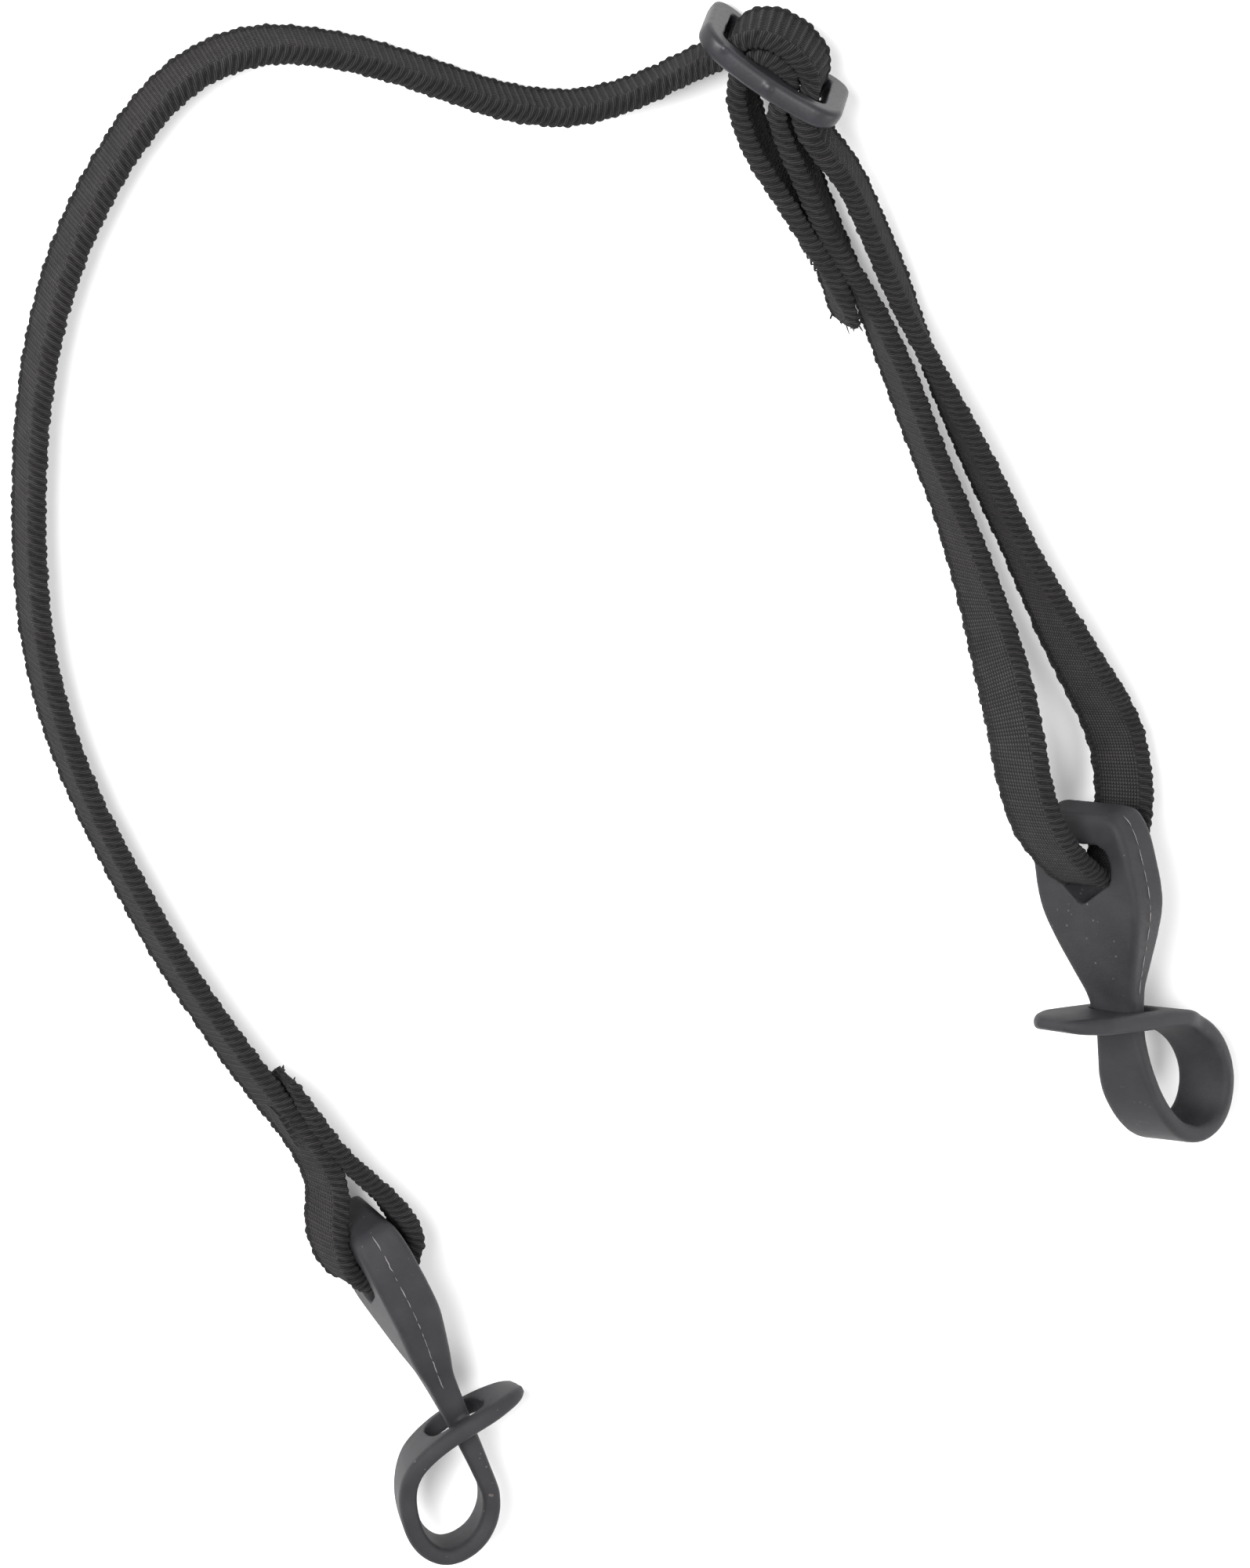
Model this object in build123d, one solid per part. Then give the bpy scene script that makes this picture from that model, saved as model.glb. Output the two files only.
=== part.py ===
"""Eyeglass retainer strap: one length of elastic webbing, a three-bar slider and two rubber temple grips.

Millimetres, +Z up. The strap lies on a table at z = 0, standing on its edge, and the origin is
under the middle of the whole object.
"""

from build123d import *

import math
import os

os.makedirs("parts", exist_ok=True)

# ---- webbing
STRAP_WIDTH = 8.0
STRAP_THICKNESS = 2.1
CORE_WIDTH = 5.2  # the flat rubber core that the yarn cover is woven round
CORE_THICKNESS = 0.9
CORE_CLEARANCE = 0.04
ARC_STEP = 12.0  # degrees between two sections of a bend

# ---- slider: three bars joined by two rails
SLIDER_LENGTH = 19.0
SLIDER_WIDTH = 13.0
SLIDER_THICKNESS = 2.4
SLOT_LENGTH = 5.9
SLOT_WIDTH = 8.8
CENTRE_BAR = 2.4
SLIDER_CORNER = 2.6
SLOT_CORNER = 0.9
SLIDER_EDGE = 0.55

# ---- temple grips: distances run from the middle of the eyelet's rim
RIM_RADIUS = 1.2
HEAD_TOP = -RIM_RADIUS
STRIP_CORNER = 0.55  # bevel along the edges of the moulding
SLOT_IN_TAIL = (7.8, 7.3)  # along the tail and across it
SLOT_IN_TAIL_CORNER = 2.4
TAIL_REACH = 11.0  # how far the slot cutter reaches through the tail, along its thickness
EYELET_REACH = 6.0
TWISTED_BY = 8.0  # how far past the crossing the moulding has turned to the noose's width direction
EYELET_CORNERS = [  # (distance from the rim, off the middle, radius) of the circles it is stretched round
    (3.4, 2.55, 2.2), (3.4, -2.55, 2.2), (7.0, 2.3, 2.4), (7.0, -2.3, 2.4), (9.2, 0.0, 1.3),
]

# ---- stitching
THREAD = 0.4
STITCH_ROWS = 5
STITCH_PITCH = 1.15
STITCH_WIDTH = 6.4
STITCH_DEPTH = 2 * STRAP_THICKNESS + THREAD
LEFT_SEAM = [(-17.8, 1.2), (-22.8, 1.6)]  # each seam's middle, and a place further along it
SLIDER_SEAM = [Vector(19.9, 70.7, 8.95), Vector(22.4, 66.3, 8.5)]

UP = Vector(0, 0, 1)


def lean(angle, towards, along):
    """The width direction of a strap or grip that leans by angle from upright, square to along."""
    side = Vector(*towards).normalized()
    tilted = UP * math.cos(math.radians(angle)) + side * math.sin(math.radians(angle))
    return (tilted - along * tilted.dot(along)).normalized()


# Each grip has its own plane: x runs from the eyelet to the loop, y is the face that the strap
# comes out of, and z is the width, which is also the line that the grip swings about.
LEFT_ALONG = Vector(0.3875, -0.9219, 0).normalized()
LEFT_WIDTH = lean(11, (0.9219, 0.3875, 0), LEFT_ALONG)
LEFT_PLANE = Plane(origin=(-37.6, -51.15, 8.1), x_dir=LEFT_ALONG, z_dir=LEFT_WIDTH * -1)
LEFT_NOOSE_WIDTH = Vector(-0.104, 0.200, 0.974)  # the loop and its tail turn away from the head

RIGHT_ALONG = Vector(0.170, -0.981, 0.09).normalized()
RIGHT_WIDTH = lean(37, (0.981, 0.170, 0), RIGHT_ALONG)
RIGHT_PLANE = Plane(origin=(54.2, -5.4, 9.8), x_dir=RIGHT_ALONG, z_dir=RIGHT_WIDTH * -1)
RIGHT_STEEP_WIDTH = lean(50, (0.981, 0.170, 0), RIGHT_ALONG)
RIGHT_NOOSE_WIDTH = Vector(0.760, 0.240, 0.604)

# The slider's plane: x is its length, y is the side that the strap bulges out of, z its width.
SLIDER_ALONG = Vector(0.785, -0.555, 0.279).normalized()
SLIDER_WIDTH_DIR = lean(21.5, (-0.99, -0.14, 0), SLIDER_ALONG)
SLIDER_PLANE = Plane(origin=(13.6, 92.6, 9.3), x_dir=SLIDER_ALONG, z_dir=SLIDER_WIDTH_DIR)

# The two runs between the slider and the right grip lean this way for most of their length.
RUN_WIDTH = lean(10, (0.92, 0.39, 0), Vector(0.42, -0.91, 0))


def on(plane, points):
    """Points given in a plane's own x and y, as places in the row frame."""
    return [plane.from_local_coords(Vector(x, y, 0)) for x, y in points]


# ---- the strap's route, from its left cut end to its right one.
# Each stretch has its places, and the directions of its width at even steps from end to end.
LEFT_LOOP = on(LEFT_PLANE, [
    (-22.8, 0.2), (-17.8, -0.1), (-12.6, -1.2), (-7.4, -2.8), (-2.6, -4.8), (1.8, -5.4),
    (4.8, -5.0), (7.3, -2.4), (7.3, 2.3), (4.2, 4.7), (-1.6, 4.6), (-7.0, 2.6), (-13.8, 2.3),
])
ARCH = [Vector(*point) for point in [
    (-47.8, -33.8, 7.3), (-52.1, -27.4, 6.5), (-59.2, -15.4, 5.4), (-64.8, -3.4, 4.7),
    (-69.9, 8.6, 4.3), (-73.3, 20.8, 4.2), (-74.6, 30.6, 4.2), (-74.8, 41.6, 4.2),
    (-74.0, 54.6, 4.2), (-71.8, 66.6, 4.2), (-68.0, 77.2, 4.2), (-62.2, 87.2, 4.2),
    (-55.6, 94.6, 4.2), (-46.6, 98.0, 4.2), (-36.0, 96.2, 4.2), (-26.0, 92.3, 4.2),
    (-17.6, 88.7, 4.3), (-9.6, 87.3, 4.6), (-2.2, 89.0, 5.3),
]]
CROSSING = on(SLIDER_PLANE, [
    (-7.6, -5.3), (-5.0, -1.2), (-5.0, 2.5), (-2.6, 4.75), (2.4, 4.75), (4.75, 2.5), (4.75, -2.2),
    (9.6, -4.6),
])
MAIN_RUN = [Vector(*point) for point in [
    (22.6, 79.0, 10.2), (26.0, 71.5, 9.1), (29.2, 64.3, 8.2), (32.4, 57.0, 7.5),
    (39.2, 42.8, 7.0), (45.6, 29.0, 7.2), (52.4, 15.4, 7.8),
]]
RIGHT_TURN = on(RIGHT_PLANE, [
    (-9.6, -8.0), (-3.7, -9.0), (1.2, -8.8), (4.8, -6.6), (7.3, -2.8), (7.2, 1.8), (4.6, 5.0),
    (1.0, 7.8), (-3.0, 9.9), (-9.0, 10.9), (-16.4, 10.7),
])
RETURN_RUN = [Vector(*point) for point in [
    (41.7, 19.8, 8.2), (37.8, 32.4, 7.6), (33.4, 43.2, 7.6), (29.6, 53.6, 7.8),
]]
STITCHED_RUN = [Vector(25.0, 64.2, 8.4), Vector(20.9, 71.2, 9.2)]
ANCHOR_LOOP = on(SLIDER_PLANE, [
    (8.8, -7.7), (4.2, -4.4), (2.45, -2.6), (2.45, 2.6), (-2.45, 2.6), (-2.45, -3.8),
    (3.6, -9.3),
])
TAIL = [Vector(*point) for point in [
    (14.2, 79.0, 9.0), (18.25, 71.5, 8.9), (21.3, 66.0, 8.5), (23.0, 60.2, 8.0),
]]

STRETCHES = [
    ("strap_left_loop", LEFT_LOOP, [LEFT_WIDTH, LEFT_WIDTH]),
    ("strap_arch", ARCH, [LEFT_WIDTH, SLIDER_WIDTH_DIR]),
    ("strap_slider_crossing", CROSSING, [SLIDER_WIDTH_DIR, SLIDER_WIDTH_DIR]),
    ("strap_main_run", MAIN_RUN, [SLIDER_WIDTH_DIR, RUN_WIDTH, RUN_WIDTH, RUN_WIDTH, RIGHT_STEEP_WIDTH]),
    ("strap_right_turn", RIGHT_TURN, [RIGHT_STEEP_WIDTH, RIGHT_WIDTH, RIGHT_WIDTH]),
    ("strap_return_run", RETURN_RUN, [RIGHT_WIDTH, RUN_WIDTH, RUN_WIDTH]),
    ("strap_anchor_loop", STITCHED_RUN + ANCHOR_LOOP + TAIL, [
        RUN_WIDTH, SLIDER_WIDTH_DIR, SLIDER_WIDTH_DIR, SLIDER_WIDTH_DIR, SLIDER_WIDTH_DIR, RUN_WIDTH,
    ]),
]


def corner_radius(before, corner, after):
    """The largest arc that leaves a tenth of the shorter run straight."""
    turn = (corner - before).get_angle(after - corner)
    run = min((corner - before).length, (after - corner).length)
    return 0.45 * run / math.tan(math.radians(turn / 2))


def stations(points):
    """(distance, place, direction) along straight runs joined by tangent arcs."""
    radii = [corner_radius(*points[i - 1:i + 2]) for i in range(1, len(points) - 1)]
    path = FilletPolyline(*points, radius=radii)
    found, travelled = [], 0.0
    for edge in path.edges().sort_by(path):
        turn = (edge % 0).get_angle(edge % 1)
        pieces = max(1, math.ceil(turn / ARC_STEP))
        for i in range(0 if not found else 1, pieces + 1):
            share = i / pieces
            found.append((travelled + edge.length * share, edge @ share, edge % share))
        travelled += edge.length
    return found, radii


def band(sections):
    """A closed solid through flat sections: (place, direction, width direction, outline)."""
    faces = []
    for place, direction, across, outline in sections:
        faces.append(Plane(origin=place, x_dir=direction.cross(across), z_dir=direction) * outline)
    return loft(faces, ruled=True)


def between(start, end, share):
    return start * (1 - share) + end * share


def square_to(direction, across):
    return (across - direction * across.dot(direction)).normalized()


def width_at(widths, share):
    """The width direction at a share of the way through evenly spaced ones."""
    place = min(max(share, 0.0), 1.0) * (len(widths) - 1)
    step = min(int(place), len(widths) - 2)
    return between(widths[step], widths[step + 1], place - step)


def strap_sections(found, first, last, widths, outline):
    """The webbing's sections from one distance to another, turning through the width directions."""
    chosen = []
    for distance, place, direction in found:
        if first - 1e-6 <= distance <= last + 1e-6:
            across = width_at(widths, (distance - first) / (last - first))
            chosen.append((place, direction, square_to(direction, across), outline))
    return chosen


def straight_middle(found, near):
    """The middle of the straight run nearest to a place: a stretch ends there, square across the strap."""
    runs = [
        (a, b) for a, b in zip(found, found[1:]) if a[2].get_angle(b[2]) < 0.01 and b[0] - a[0] > 0.05
    ]
    a, b = min(runs, key=lambda run: ((run[0][1] + run[1][1]) * 0.5 - near).length)
    return ((a[0] + b[0]) / 2, (a[1] + b[1]) * 0.5, a[2])


def build_strap():
    """Every stretch of webbing, cover and core, cut from one continuous route."""
    route = [place for _, points, _ in STRETCHES for place in points]
    found, radii = stations(route)
    print("strap length", round(found[-1][0], 1), "radii", [round(r, 1) for r in radii])

    cuts = [found[0]]
    for (_, points, _), (_, following, _) in zip(STRETCHES, STRETCHES[1:]):
        cuts.append(straight_middle(found, (points[-1] + following[0]) * 0.5))
    cuts.append(found[-1])
    found = sorted(found + cuts[1:-1], key=lambda station: station[0])

    cover_outline = Rectangle(STRAP_THICKNESS, STRAP_WIDTH)
    core_outline = Rectangle(CORE_THICKNESS, CORE_WIDTH)
    space_outline = Rectangle(CORE_THICKNESS + 2 * CORE_CLEARANCE, CORE_WIDTH + 2 * CORE_CLEARANCE)
    nodes = {}
    section_area = STRAP_WIDTH * STRAP_THICKNESS
    for (name, _, widths), first, last in zip(STRETCHES, cuts, cuts[1:]):
        span = (found, first[0], last[0], widths)
        cover = band(strap_sections(*span, cover_outline))
        length = last[0] - first[0]
        filled = cover.volume / length / section_area
        print(name, "length", round(length, 1), "volume over section times length", round(filled, 3))
        nodes[name] = cover - band(strap_sections(*span, space_outline))
        nodes[name.replace("strap", "elastic_core")] = band(strap_sections(*span, core_outline))
    return nodes


def build_slider():
    """The rounded frame with its centre bar, moulded in one piece."""
    outline = RectangleRounded(SLIDER_LENGTH, SLIDER_WIDTH, SLIDER_CORNER)
    body = extrude(outline, SLIDER_THICKNESS / 2, both=True)
    slot = extrude(RectangleRounded(SLOT_LENGTH, SLOT_WIDTH, SLOT_CORNER), SLIDER_THICKNESS, both=True)
    middle = (CENTRE_BAR + SLOT_LENGTH) / 2
    for side in (-1, 1):
        body -= Pos(side * middle, 0, 0) * slot
    straight_edges = body.edges().filter_by(GeomType.LINE).filter_by(Axis.Z, reverse=True)
    body = fillet(straight_edges, SLIDER_EDGE)
    lying = Plane(origin=SLIDER_PLANE.origin, x_dir=SLIDER_PLANE.x_dir, z_dir=SLIDER_PLANE.y_dir)
    return lying * body


# Width and thickness of a grip's moulding, at distances from the top of its head.
HEAD_SHAPE = [
    (0.0, 9.0, 3.8), (0.6, 11.6, 5.2), (1.8, 13.2, 5.8), (4.0, 14.4, 6.1), (7.0, 14.9, 6.2),
    (10.4, 15.2, 6.2), (13.4, 14.6, 6.1), (17.2, 12.1, 5.6), (21.2, 9.0, 4.8), (24.8, 6.7, 3.7),
]
NECK_SHAPE = (5.9, 2.8)
STRIP_SHAPE = (7.4, 2.3)
TAIL_SHAPE = (10.8, 2.2)
TAIL_END_SHAPE = (8.2, 2.0)
TIP_SHAPE = (4.6, 1.5)
NECK_FROM = 3.0  # the neck is slimmest from here past the crossing
STRIP_FROM = 11.0  # and has become the strip of the loop by here
TAIL_WIDENS_OVER = 5.0
TAIL_NARROWS_FROM = 6.0  # distances from the tip
TAIL_END_FROM = 2.0


def moulding_outline(width, thickness):
    """A rectangle with bevelled corners, the long way across the grip."""
    corner = min(STRIP_CORNER, thickness * 0.3)
    x, y = thickness / 2, width / 2
    return make_face(Polyline(
        (x, -y + corner), (x, y - corner), (x - corner, y), (-x + corner, y), (-x, y - corner),
        (-x, -y + corner), (-x + corner, -y), (x - corner, -y), close=True,
    ))


def shape_at(keys, distance):
    """Width and thickness at a distance, between the two nearest keys."""
    if distance <= keys[0][0]:
        return keys[0][1:]
    for (d0, w0, t0), (d1, w1, t1) in zip(keys, keys[1:]):
        if distance <= d1:
            share = (distance - d0) / (d1 - d0)
            return w0 + (w1 - w0) * share, t0 + (t1 - t0) * share
    return keys[-1][1:]


def build_grip(plane, path, noose_width, tail_start, crossing):
    """One temple grip: head with its eyelet, neck, loop, and the slotted tail that the neck passes through.

    path is the middle of the moulding in the grip's plane, and noose_width the direction that the loop
    and the tail turn their width to. tail_start is the number of the run that the tail begins on, and
    crossing how far along the plane's x the tail crosses the neck.
    """
    found, _ = stations([Vector(x, y, 0) for x, y in path])
    tail_middle = (Vector(*path[tail_start], 0) + Vector(*path[tail_start + 1], 0)) * 0.5
    tail_from = straight_middle(found, tail_middle)
    length = found[-1][0]
    keys = HEAD_SHAPE + [
        (crossing + NECK_FROM, *NECK_SHAPE), (crossing + STRIP_FROM, *STRIP_SHAPE),
        (tail_from[0] - TAIL_WIDENS_OVER, *STRIP_SHAPE), (tail_from[0], *TAIL_SHAPE),
        (length - TAIL_NARROWS_FROM, *TAIL_SHAPE), (length - TAIL_END_FROM, *TAIL_END_SHAPE),
        (length, *TIP_SHAPE),
    ]
    twist_from, twist_to = HEAD_SHAPE[6][0], crossing + TWISTED_BY
    straight = found[1][0]
    head_stations = [
        (d, between(found[0][1], found[1][1], d / straight), found[0][2])
        for d, _, _ in HEAD_SHAPE[1:] if d < straight
    ]
    end_run = found[-2][0]
    tail_stations = [
        (d, between(found[-2][1], found[-1][1], (d - end_run) / (length - end_run)), found[-1][2])
        for d in (length - TAIL_NARROWS_FROM, length - TAIL_END_FROM) if d > end_run + 0.1
    ]
    found = sorted(found + head_stations + tail_stations + [tail_from], key=lambda station: station[0])
    head_across = Vector(0, 0, 1)
    noose_across = Vector(*(-noose_width.dot(axis) for axis in (plane.x_dir, plane.y_dir, plane.z_dir)))

    def across_at(distance, direction):
        share = min(max((distance - twist_from) / (twist_to - twist_from), 0.0), 1.0)
        return square_to(direction, between(head_across, noose_across, share))

    def sections(first, last):
        return [
            (place, direction, across_at(distance, direction), moulding_outline(*shape_at(keys, distance)))
            for distance, place, direction in found if first <= distance <= last
        ]

    body = band(sections(0, tail_from[0]))
    tail = band(sections(tail_from[0], length))
    before, after = min(
        ((a, b) for a, b in zip(found, found[1:]) if a[0] >= tail_from[0]),
        key=lambda pair: abs(pair[0][1].Y + pair[1][1].Y),
    )
    tail_direction = (after[1] - before[1]).normalized()
    across_neck = Plane(
        origin=(crossing, 0, 0), x_dir=tail_direction,
        z_dir=tail_direction.cross(across_at(after[0], tail_direction)),
    )
    slot = RectangleRounded(*SLOT_IN_TAIL, SLOT_IN_TAIL_CORNER)
    tail -= across_neck * extrude(slot, TAIL_REACH / 2, both=True)

    corners = [Pos(x, y) * Circle(radius) for x, y, radius in EYELET_CORNERS]
    hole = make_hull([edge for corner in corners for edge in corner.edges()])
    eyelet = Plane(origin=(0, 0, 0), x_dir=(1, 0, 0), z_dir=(0, 1, 0)) * extrude(
        hole, EYELET_REACH, both=True
    )
    return plane * ((body - eyelet) + tail)


LEFT_PATH = [
    (HEAD_TOP, 0), (38.5, -0.8), (44.2, 0.2), (47.4, 4.1), (46.9, 9.1), (42.4, 11.9), (36.2, 11.0),
    (32.6, 8.6), (31.3, 4.8), (31.0, -0.2), (31.5, -9.9),
]
RIGHT_PATH = [
    (HEAD_TOP, 0), (22.0, 0.2), (30.5, 1.3), (35.4, 1.4), (40.2, -0.4), (44.0, -3.4), (45.9, -7.8),
    (45.0, -12.4), (40.6, -14.9), (35.2, -13.6), (31.0, -9.4), (28.2, -4.2), (26.3, 1.8), (22.1, 14.0),
]


def build_stitching(place, direction, across):
    """Rings of thread that go through two layers of webbing and lie across both outer faces."""
    plane = Plane(origin=place, x_dir=direction, z_dir=across)
    rings = []
    for row in range(STITCH_ROWS):
        ring = Box(THREAD, STITCH_DEPTH, STITCH_WIDTH)
        ring -= Box(2 * THREAD, STITCH_DEPTH - 2 * THREAD, STITCH_WIDTH - 2 * THREAD)
        rings.append(plane * Pos((row - (STITCH_ROWS - 1) / 2) * STITCH_PITCH, 0, 0) * ring)
    return Compound(children=rings)


def main():
    nodes = build_strap()
    nodes["slider_frame"] = build_slider()
    nodes["left_temple_grip"] = build_grip(LEFT_PLANE, LEFT_PATH, LEFT_NOOSE_WIDTH, 7, 31.1)
    nodes["right_temple_grip"] = build_grip(RIGHT_PLANE, RIGHT_PATH, RIGHT_NOOSE_WIDTH, 10, 26.9)
    start, end = on(LEFT_PLANE, LEFT_SEAM)
    nodes["left_loop_stitching"] = build_stitching(start, end - start, LEFT_WIDTH)
    start, end = SLIDER_SEAM
    nodes["slider_loop_stitching"] = build_stitching(start, end - start, SLIDER_WIDTH_DIR)
    for name, solid in nodes.items():
        export_step(solid, f"parts/{name}.step")


main()
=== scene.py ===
"""Eyeglass retainer strap: the visual model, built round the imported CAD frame. Metres, +Z up."""

import math
import random

import bmesh
import bpy
from mathutils import Matrix, Vector, noise
from mathutils.bvhtree import BVHTree
from mathutils.geometry import convex_hull_2d


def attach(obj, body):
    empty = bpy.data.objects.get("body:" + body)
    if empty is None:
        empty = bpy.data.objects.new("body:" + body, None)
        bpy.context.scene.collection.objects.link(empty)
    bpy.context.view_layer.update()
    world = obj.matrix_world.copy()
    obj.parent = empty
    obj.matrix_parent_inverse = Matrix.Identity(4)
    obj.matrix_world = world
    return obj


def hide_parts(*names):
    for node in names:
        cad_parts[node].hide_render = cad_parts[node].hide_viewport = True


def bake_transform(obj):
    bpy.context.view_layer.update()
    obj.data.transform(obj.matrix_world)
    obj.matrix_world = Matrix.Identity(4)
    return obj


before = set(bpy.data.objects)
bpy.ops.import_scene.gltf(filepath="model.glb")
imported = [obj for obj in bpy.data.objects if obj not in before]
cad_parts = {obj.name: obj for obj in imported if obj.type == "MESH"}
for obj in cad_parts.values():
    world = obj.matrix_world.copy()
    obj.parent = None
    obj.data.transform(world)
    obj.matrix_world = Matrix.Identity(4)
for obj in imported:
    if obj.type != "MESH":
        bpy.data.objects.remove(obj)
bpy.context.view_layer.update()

MM = 0.001
UP = Vector((0, 0, 1))

# ---------------------------------------------------------------- camera, light and floor

VIEW_RIGHT = Vector((0.97079, 0.0, 0.23995))
VIEW_UP = Vector((0.08916, 0.92840, -0.36072))
VIEW_BACK = VIEW_RIGHT.cross(VIEW_UP)
VIEW_TARGET = Vector((-3.2, 2.5, 5.0)) * MM
VIEW_DISTANCE = 0.8
VIEW_HEIGHT = 0.190  # what the picture's height covers at the target
WORLD_STRENGTH = 0.80
FLOOR_HALF = 6.0
FLOOR_GREY = (0.93, 0.93, 0.93, 1)


def build_camera():
    camera = bpy.data.cameras.new("camera")
    camera.sensor_fit = "VERTICAL"
    camera.sensor_height = 36.0
    camera.lens = camera.sensor_height * VIEW_DISTANCE / VIEW_HEIGHT
    camera.clip_end = 20.0
    holder = bpy.data.objects.new("camera", camera)
    turn = Matrix((VIEW_RIGHT, VIEW_UP, VIEW_BACK)).transposed().to_4x4()
    holder.matrix_world = Matrix.Translation(VIEW_TARGET + VIEW_BACK * VIEW_DISTANCE) @ turn
    bpy.context.scene.collection.objects.link(holder)
    bpy.context.scene.camera = holder


def area_light(name, place, size, power):
    """A round lamp that faces the origin."""
    lamp = bpy.data.lights.new(name, "AREA")
    lamp.shape = "DISK"
    lamp.size = size
    lamp.energy = power
    holder = bpy.data.objects.new(name, lamp)
    place = Vector(place)
    facing = place.to_track_quat("Z", "Y").to_matrix().to_4x4()
    holder.matrix_world = Matrix.Translation(place) @ facing
    bpy.context.scene.collection.objects.link(holder)


def build_studio():
    world = bpy.data.worlds.new("studio")
    world.use_nodes = True
    background = world.node_tree.nodes["Background"]
    background.inputs["Color"].default_value = (1.0, 1.0, 1.0, 1.0)
    background.inputs["Strength"].default_value = WORLD_STRENGTH
    bpy.context.scene.world = world
    bpy.context.scene.view_settings.view_transform = "Standard"
    area_light("key", (-0.45, 0.35, 0.75), 0.4, 13.0)
    area_light("fill", (0.6, -0.3, 0.6), 0.6, 3.5)

    mesh = bpy.data.meshes.new("floor")
    corners = [(x * FLOOR_HALF, y * FLOOR_HALF, 0) for x, y in ((-1, -1), (1, -1), (1, 1), (-1, 1))]
    mesh.from_pydata(corners, [], [(0, 1, 2, 3)])
    floor = bpy.data.objects.new("floor", mesh)
    bpy.context.scene.collection.objects.link(floor)
    material = bpy.data.materials.new("floor")
    material.use_nodes = True
    shader = material.node_tree.nodes["Principled BSDF"]
    shader.inputs["Base Color"].default_value = FLOOR_GREY
    shader.inputs["Roughness"].default_value = 0.9
    mesh.materials.append(material)


# ---------------------------------------------------------------- places, as the CAD has them


class Place:
    """A plane of the object: x and y in it and z its width, in millimetres."""

    def __init__(self, origin, along, width, flip=1):
        self.origin = Vector(origin)
        self.x = Vector(along).normalized()
        self.width = width
        self.y = self.x.cross(width) * flip

    def at(self, x, y, w=0.0):
        return self.origin + self.x * x + self.y * y + self.width * w


def lean(angle, towards, along):
    """The width direction of a strap or grip that leans by angle from upright, square to along."""
    turn = math.radians(angle)
    tilted = UP * math.cos(turn) + Vector(towards).normalized() * math.sin(turn)
    return (tilted - along * tilted.dot(along)).normalized()


LEFT_ALONG = Vector((0.3875, -0.9219, 0)).normalized()
LEFT = Place((-37.6, -51.15, 8.1), LEFT_ALONG, lean(11, (0.9219, 0.3875, 0), LEFT_ALONG))
LEFT_NOOSE_WIDTH = Vector((-0.104, 0.200, 0.974))
RIGHT_ALONG = Vector((0.170, -0.981, 0.09)).normalized()
RIGHT = Place((54.2, -5.4, 9.8), RIGHT_ALONG, lean(37, (0.981, 0.170, 0), RIGHT_ALONG))
RIGHT_STEEP_WIDTH = lean(50, (0.981, 0.170, 0), RIGHT_ALONG)
RIGHT_NOOSE_WIDTH = Vector((0.745, 0.099, 0.659))
SLIDER_ALONG = Vector((0.785, -0.555, 0.279)).normalized()
SLIDER = Place((13.6, 92.6, 9.3), SLIDER_ALONG, lean(21.5, (-0.99, -0.14, 0), SLIDER_ALONG), -1)
RUN_WIDTH = lean(10, (0.92, 0.39, 0), Vector((0.42, -0.91, 0)))
LOOP_WIDTH = lean(24, (0.9219, 0.3875, 0), LEFT_ALONG)
BULGE_WIDTH = (SLIDER.width - SLIDER.y * 0.2).normalized()  # its near edge is pulled down

# ---------------------------------------------------------------- the strap's route

LEFT_LOOP = [LEFT.at(*p) for p in [
    (-22.8, 0.2), (-17.8, -0.1), (-12.6, -0.8), (-7.6, -2.2), (-2.6, -4.3), (1.8, -5.2),
    (4.8, -5.0), (7.3, -2.4), (7.3, 2.3), (4.2, 4.7), (-1.6, 4.2), (-7.0, 1.0), (-13.8, 1.3),
]]
ARCH = [Vector(p) for p in [
    (-47.8, -33.8, 7.3), (-52.1, -27.4, 6.5), (-59.2, -15.4, 5.4), (-64.8, -3.4, 4.7),
    (-69.9, 8.6, 4.3), (-73.3, 20.8, 4.2), (-74.6, 30.6, 4.2), (-74.8, 41.6, 4.2),
    (-74.0, 54.6, 4.2), (-71.8, 66.6, 4.2), (-68.0, 77.2, 4.2), (-62.2, 87.2, 4.2),
    (-55.6, 94.6, 4.2), (-46.6, 98.0, 4.2), (-36.0, 96.2, 4.2), (-26.0, 92.3, 4.2),
    (-17.6, 88.7, 4.3), (-9.6, 87.3, 4.6), (-2.2, 89.0, 5.3),
]]
CROSSING = [SLIDER.at(*p) for p in [
    (-7.6, -5.3), (-5.2, -1.4), (-5.1, 1.6), (-2.6, 3.8), (2.2, 3.8), (5.2, 1.7), (5.1, -2.2),
    (9.6, -4.6),
]]
MAIN_RUN = [Vector(p) for p in [
    (22.6, 79.0, 10.2), (26.0, 71.5, 9.1), (29.2, 64.3, 8.2), (32.4, 57.0, 7.5),
    (39.2, 42.8, 7.0), (45.6, 29.0, 7.2), (52.4, 15.4, 7.8),
]]
RIGHT_TURN = [RIGHT.at(*p) for p in [
    (-9.6, -8.0), (-3.7, -8.4), (1.2, -7.6), (5.0, -5.6), (7.7, -2.7), (7.7, 2.0), (4.8, 5.1),
    (1.0, 7.8), (-3.0, 9.9), (-9.0, 10.9), (-16.4, 10.7),
]]
RETURN_RUN = [Vector(p) for p in [
    (41.7, 19.8, 8.2), (37.8, 32.4, 7.6), (33.4, 43.2, 7.6), (29.6, 53.6, 7.8),
]]
STITCHED_RUN = [Vector((25.0, 64.2, 8.4)), Vector((20.9, 71.2, 9.2))]
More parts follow.
